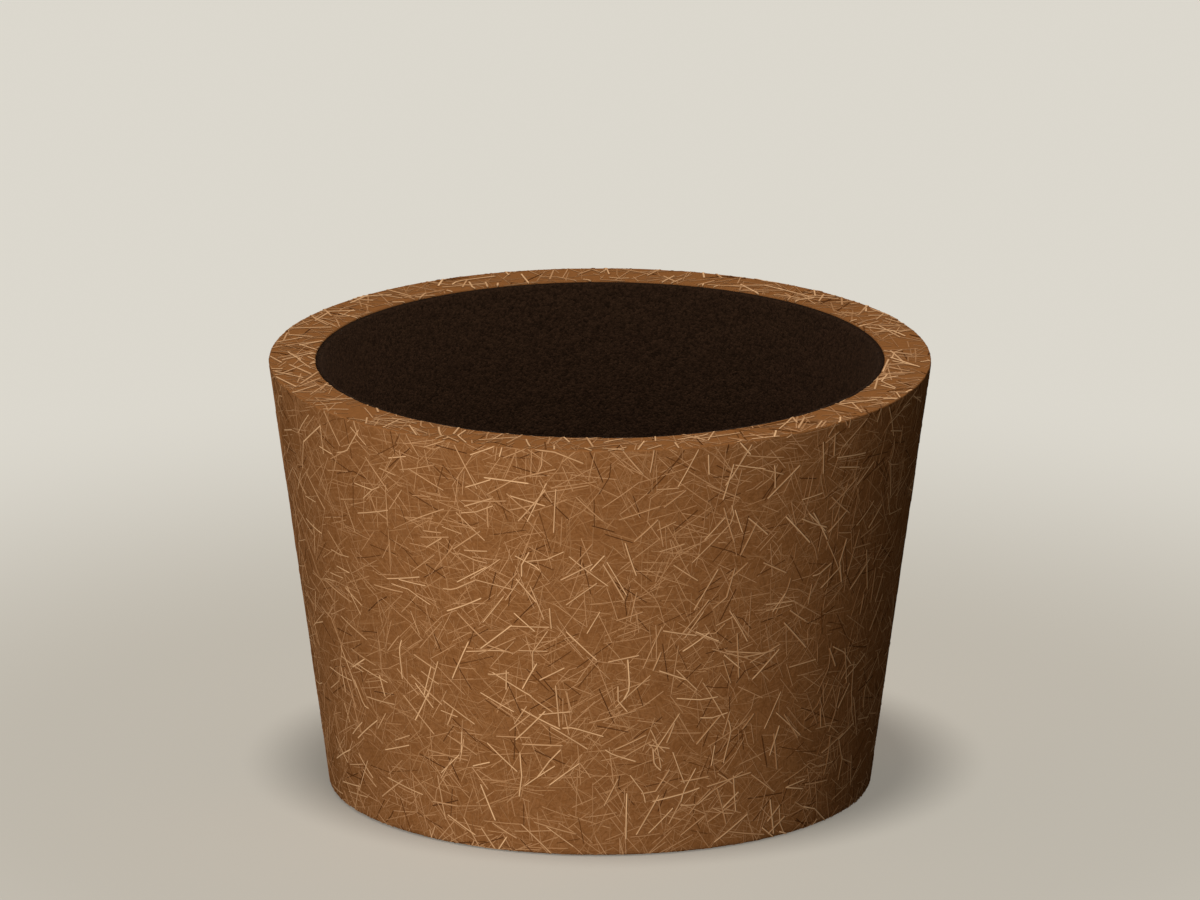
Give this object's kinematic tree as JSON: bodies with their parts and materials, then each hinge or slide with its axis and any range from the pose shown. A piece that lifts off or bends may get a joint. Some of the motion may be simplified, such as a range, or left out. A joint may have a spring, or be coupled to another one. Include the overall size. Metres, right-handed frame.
{
  "type": "coir plant pot",
  "caption": "Round tapered plant pot of thick coir felt with a square-cut rim, a felt base wedged into its narrow end, a drain hole and a dark pith lining.",
  "frame": {"origin": "centre of the flat ring that the pot stands on", "axes": "+Z along the pot's axis, out of its mouth; the wall's seam is on the +Y side and the view of the picture is along +Y"},
  "size_m": [0.2358, 0.2358, 0.156],
  "materials": {
    "coir_felt": "matt golden-brown coir felt with straw-coloured and dark fibres lying flat in it",
    "coir_pith": "matt brown-black mat of coir pith, granular"
  },
  "bodies": {
    "root": {"coir_wall": "coir_felt", "coir_base": "coir_felt", "base_lining": "coir_pith", "wall_lining": "coir_pith"}
  },
  "joints": []
}
